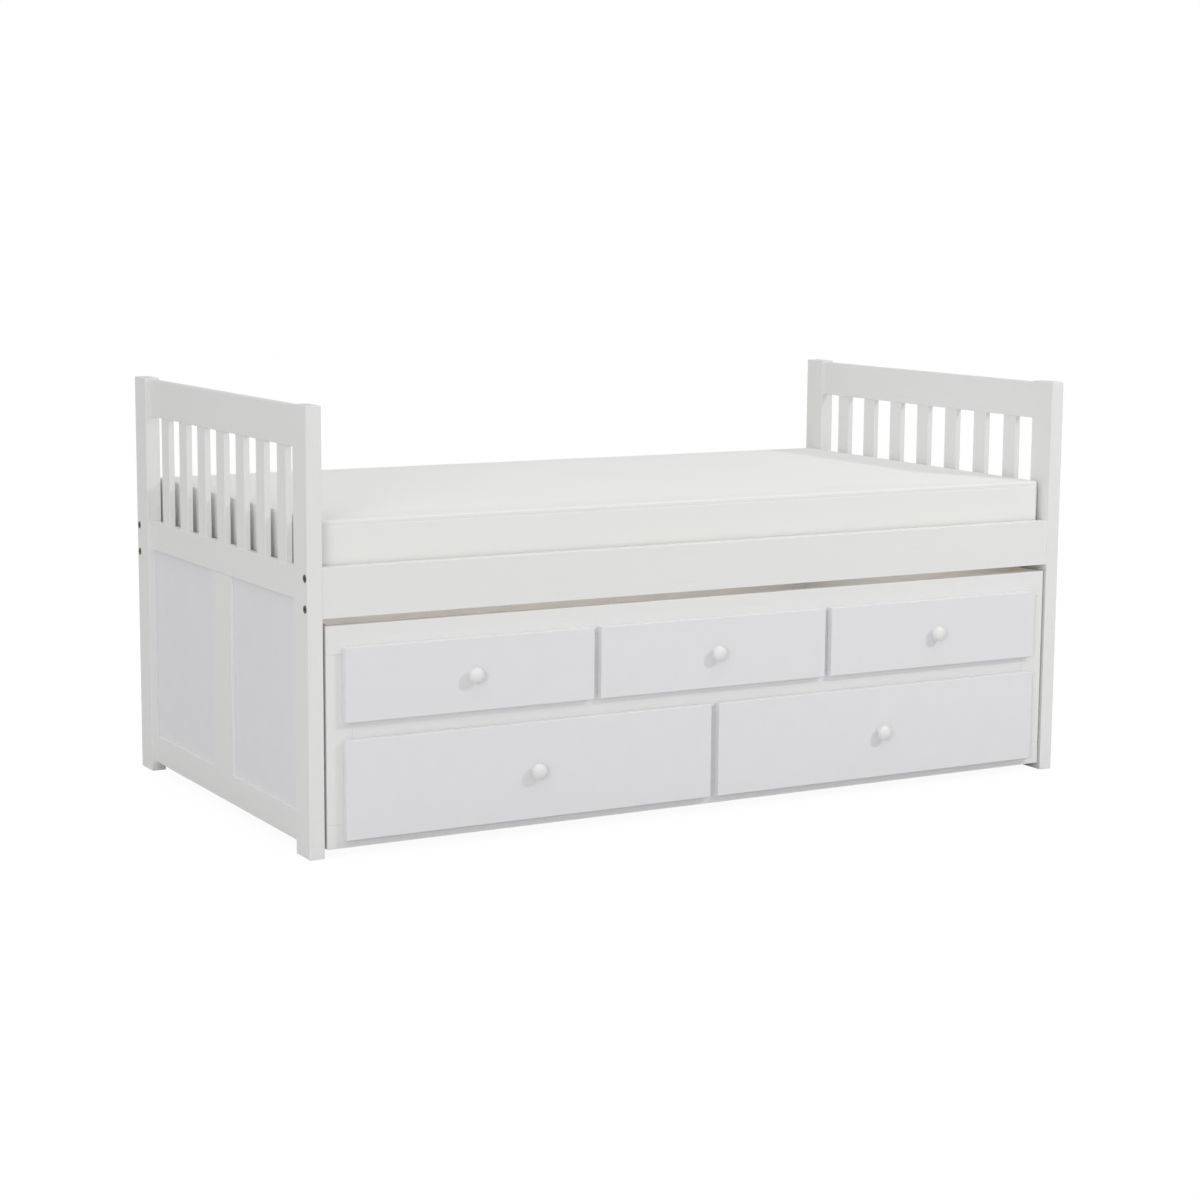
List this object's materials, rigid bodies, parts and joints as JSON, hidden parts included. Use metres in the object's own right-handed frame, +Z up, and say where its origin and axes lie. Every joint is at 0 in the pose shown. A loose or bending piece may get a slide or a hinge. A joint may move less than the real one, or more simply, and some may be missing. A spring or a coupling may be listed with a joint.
{
  "type": "trundle bed",
  "caption": "White wooden bed with slatted end boards over a roll-out trundle that hides a mattress well and drawers with round knobs.",
  "frame": {"origin": "on the floor, at the middle of the whole object's length and depth, knobs included", "axes": "+X along the bed from the foot board to the head board, +Y from the front with the drawers to the back, +Z up"},
  "size_m": [2.0162, 1.1234, 0.974],
  "materials": {
    "painted_wood": "satin",
    "painted_front": "satin",
    "painted_panel": "satin",
    "raw_pine": "matte",
    "raw_plywood": "matte",
    "mattress_fabric": "matte",
    "bronzed_steel": "satin",
    "zinc_steel": "satin",
    "coated_steel": "satin",
    "wheel_nylon": "matte"
  },
  "bodies": {
    "bed_frame": {"foot_post_front": "painted_wood", "foot_post_back": "painted_wood", "foot_top_rail": "painted_wood", "foot_mid_rail": "painted_wood", "foot_bottom_rail": "painted_wood", "foot_center_stile": "painted_wood", "foot_spindles": "painted_wood", "foot_panels": "painted_panel", "head_post_front": "painted_wood", "head_post_back": "painted_wood", "head_top_rail": "painted_wood", "head_mid_rail": "painted_wood", "head_bottom_rail": "painted_wood", "head_center_stile": "painted_wood", "head_spindles": "painted_wood", "head_panels": "painted_panel", "front_side_rail": "painted_wood", "rear_side_rail": "painted_wood", "rear_stretcher": "painted_wood", "slat_ledgers": "raw_pine", "bed_slats": "raw_pine", "bed_bolts": "bronzed_steel", "barrel_nuts": "zinc_steel", "mattress": "mattress_fabric"},
    "trundle": {"trundle_top_rail": "painted_wood", "trundle_mid_rail": "painted_wood", "trundle_bottom_rail": "painted_wood", "trundle_stiles": "painted_wood", "trundle_mullions": "painted_wood", "false_front_left": "painted_front", "false_front_middle": "painted_front", "false_front_right": "painted_front", "false_front_knobs": "painted_front", "trundle_side_left": "painted_panel", "trundle_side_right": "painted_panel", "trundle_back": "painted_panel", "trundle_divider": "raw_plywood", "trundle_ledgers": "raw_pine", "trundle_slats": "raw_pine", "slide_cleats": "raw_pine", "trundle_bearers": "raw_pine", "slide_channels": "coated_steel", "caster_brackets": "zinc_steel", "caster_axles": "zinc_steel"},
    "left_drawer": {"left_drawer_front": "painted_front", "left_drawer_knob": "painted_front", "left_drawer_sides": "raw_plywood", "left_drawer_back": "raw_plywood", "left_drawer_bottom": "raw_plywood", "left_drawer_runners": "coated_steel"},
    "right_drawer": {"right_drawer_front": "painted_front", "right_drawer_knob": "painted_front", "right_drawer_sides": "raw_plywood", "right_drawer_back": "raw_plywood", "right_drawer_bottom": "raw_plywood", "right_drawer_runners": "coated_steel"},
    "caster_wheel_front_left": {"wheel_front_left": "wheel_nylon"},
    "caster_wheel_front_right": {"wheel_front_right": "wheel_nylon"},
    "caster_wheel_rear_left": {"wheel_rear_left": "wheel_nylon"},
    "caster_wheel_rear_right": {"wheel_rear_right": "wheel_nylon"}
  },
  "joints": [
    {"name": "trundle_slide", "type": "slide", "parent": "bed_frame", "child": "trundle", "axis": [0, -1, 0], "range_m": [0, 1.1]},
    {"name": "left_drawer_slide", "type": "slide", "parent": "trundle", "child": "left_drawer", "axis": [0, -1, 0], "range_m": [0, 0.4]},
    {"name": "right_drawer_slide", "type": "slide", "parent": "trundle", "child": "right_drawer", "axis": [0, -1, 0], "range_m": [0, 0.4]},
    {"name": "front_left_wheel_spin", "type": "hinge", "parent": "trundle", "child": "caster_wheel_front_left", "pos_m": [-0.9035, -0.37525, 0.025], "axis": [1, 0, 0], "continuous": true},
    {"name": "front_right_wheel_spin", "type": "hinge", "parent": "trundle", "child": "caster_wheel_front_right", "pos_m": [0.9035, -0.37525, 0.025], "axis": [1, 0, 0], "continuous": true},
    {"name": "rear_left_wheel_spin", "type": "hinge", "parent": "trundle", "child": "caster_wheel_rear_left", "pos_m": [-0.9035, 0.40175, 0.025], "axis": [1, 0, 0], "continuous": true},
    {"name": "rear_right_wheel_spin", "type": "hinge", "parent": "trundle", "child": "caster_wheel_rear_right", "pos_m": [0.9035, 0.40175, 0.025], "axis": [1, 0, 0], "continuous": true}
  ],
  "couplings": [
    {"joint": "front_left_wheel_spin", "follows": "trundle_slide", "rad_per_m": 40},
    {"joint": "front_right_wheel_spin", "follows": "trundle_slide", "rad_per_m": 40},
    {"joint": "rear_left_wheel_spin", "follows": "trundle_slide", "rad_per_m": 40},
    {"joint": "rear_right_wheel_spin", "follows": "trundle_slide", "rad_per_m": 40}
  ]
}
